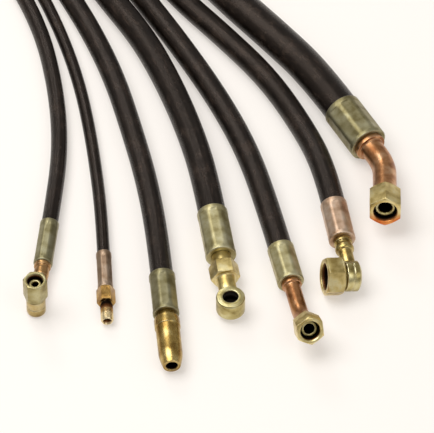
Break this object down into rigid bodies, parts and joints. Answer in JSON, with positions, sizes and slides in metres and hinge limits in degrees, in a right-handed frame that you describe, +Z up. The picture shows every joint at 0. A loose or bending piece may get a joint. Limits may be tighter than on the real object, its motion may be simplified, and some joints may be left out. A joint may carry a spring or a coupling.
{
  "type": "hydraulic hose assembly set",
  "caption": "Rubber hydraulic hoses side by side, each with crimped ferrules and a different end fitting: elbows, stud, standpipe, eye and swivel nuts.",
  "frame": {"origin": "on the table, under the middle of the fittings' overall length and width", "axes": "+X to the viewer's right, +Y away from the viewer towards the far ends, +Z up from the table"},
  "size_m": [0.6722, 1.0046, 0.0543],
  "materials": {
    "cover_rubber": "dull black",
    "wire_braid": "woven bright wire",
    "liner_rubber": "smooth black",
    "ferrule_zinc": "pale green zinc plating",
    "ferrule_rose_zinc": "pinkish grey zinc plating",
    "insert_gold": "yellow zinc plating",
    "insert_copper": "copper brown plating",
    "nut_zinc": "yellow green zinc plating",
    "spring_wire": "bright wire",
    "seal_rubber": "black rubber"
  },
  "bodies": {
    "hose_set": {"hose_1_cover": "cover_rubber", "hose_1_braid": "wire_braid", "hose_1_liner": "liner_rubber", "near_ferrule_1": "ferrule_zinc", "near_insert_1": "insert_copper", "far_ferrule_1": "ferrule_zinc", "far_insert_1": "insert_copper", "hose_2_cover": "cover_rubber", "hose_2_braid": "wire_braid", "hose_2_liner": "liner_rubber", "near_ferrule_2": "ferrule_rose_zinc", "near_insert_2": "insert_gold", "far_ferrule_2": "ferrule_rose_zinc", "far_insert_2": "insert_gold", "hose_3_cover": "cover_rubber", "hose_3_braid": "wire_braid", "hose_3_liner": "liner_rubber", "near_ferrule_3": "ferrule_zinc", "near_insert_3": "insert_gold", "far_ferrule_3": "ferrule_zinc", "far_insert_3": "insert_gold", "hose_4_cover": "cover_rubber", "hose_4_braid": "wire_braid", "hose_4_liner": "liner_rubber", "near_ferrule_4": "ferrule_zinc", "near_insert_4": "insert_gold", "far_ferrule_4": "ferrule_zinc", "far_insert_4": "insert_gold", "hose_5_cover": "cover_rubber", "hose_5_braid": "wire_braid", "hose_5_liner": "liner_rubber", "near_ferrule_5": "ferrule_zinc", "near_insert_5": "insert_copper", "far_ferrule_5": "ferrule_zinc", "far_insert_5": "insert_copper", "hose_6_cover": "cover_rubber", "hose_6_braid": "wire_braid", "hose_6_liner": "liner_rubber", "near_ferrule_6": "ferrule_rose_zinc", "near_insert_6": "insert_gold", "far_ferrule_6": "ferrule_rose_zinc", "far_insert_6": "insert_gold", "hose_7_cover": "cover_rubber", "hose_7_braid": "wire_braid", "hose_7_liner": "liner_rubber", "near_ferrule_7": "ferrule_zinc", "near_insert_7": "insert_copper", "far_ferrule_7": "ferrule_zinc", "far_insert_7": "insert_copper", "nut_retaining_wires": "spring_wire", "cone_seal_rings": "seal_rubber"},
    "far_swivel_nut_1": {"far_nut_1": "nut_zinc"},
    "far_swivel_nut_3": {"far_nut_3": "nut_zinc"},
    "far_swivel_nut_5": {"far_nut_5": "nut_zinc"},
    "far_swivel_nut_6": {"far_nut_6": "nut_zinc"},
    "far_swivel_nut_7": {"far_nut_7": "nut_zinc"},
    "near_swivel_nut_1": {"near_nut_1": "nut_zinc"},
    "near_swivel_nut_5": {"near_nut_5": "nut_zinc"},
    "near_swivel_nut_6": {"near_nut_6": "nut_zinc"},
    "near_swivel_nut_7": {"near_nut_7": "nut_zinc"}
  },
  "joints": [
    {"name": "far_nut_1_turn", "type": "hinge", "parent": "hose_set", "child": "far_swivel_nut_1", "pos_m": [-0.32217, 0.42189, 0.011], "axis": [-0.5408, 0.8412, 0], "continuous": true},
    {"name": "far_nut_3_turn", "type": "hinge", "parent": "hose_set", "child": "far_swivel_nut_3", "pos_m": [-0.24475, 0.44781, 0.01375], "axis": [-0.4472, 0.8944, 0], "continuous": true},
    {"name": "far_nut_5_turn", "type": "hinge", "parent": "hose_set", "child": "far_swivel_nut_5", "pos_m": [-0.14036, 0.45391, 0.0141], "axis": [-0.3387, 0.9409, 0], "continuous": true},
    {"name": "far_nut_6_turn", "type": "hinge", "parent": "hose_set", "child": "far_swivel_nut_6", "pos_m": [-0.08212, 0.44967, 0.015], "axis": [-0.2659, 0.964, 0], "continuous": true},
    {"name": "far_nut_7_turn", "type": "hinge", "parent": "hose_set", "child": "far_swivel_nut_7", "pos_m": [-0.02711, 0.4797, 0.02065], "axis": [-0.2016, 0.9795, 0], "continuous": true},
    {"name": "near_nut_1_turn", "type": "hinge", "parent": "hose_set", "child": "near_swivel_nut_1", "pos_m": [-0.04205, -0.41839, 0.045], "axis": [0, 0, 1], "continuous": true},
    {"name": "near_nut_5_turn", "type": "hinge", "parent": "hose_set", "child": "near_swivel_nut_5", "pos_m": [0.23858, -0.46971, 0.03496], "axis": [0.1912, -0.8446, 0.5], "continuous": true},
    {"name": "near_nut_6_turn", "type": "hinge", "parent": "hose_set", "child": "near_swivel_nut_6", "pos_m": [0.26192, -0.38926, 0.02097], "axis": [-0.9704, -0.168, 0.1737], "continuous": true},
    {"name": "near_nut_7_turn", "type": "hinge", "parent": "hose_set", "child": "near_swivel_nut_7", "pos_m": [0.31972, -0.3088, 0.0351], "axis": [-0.016, -0.98, 0.1985], "continuous": true}
  ]
}
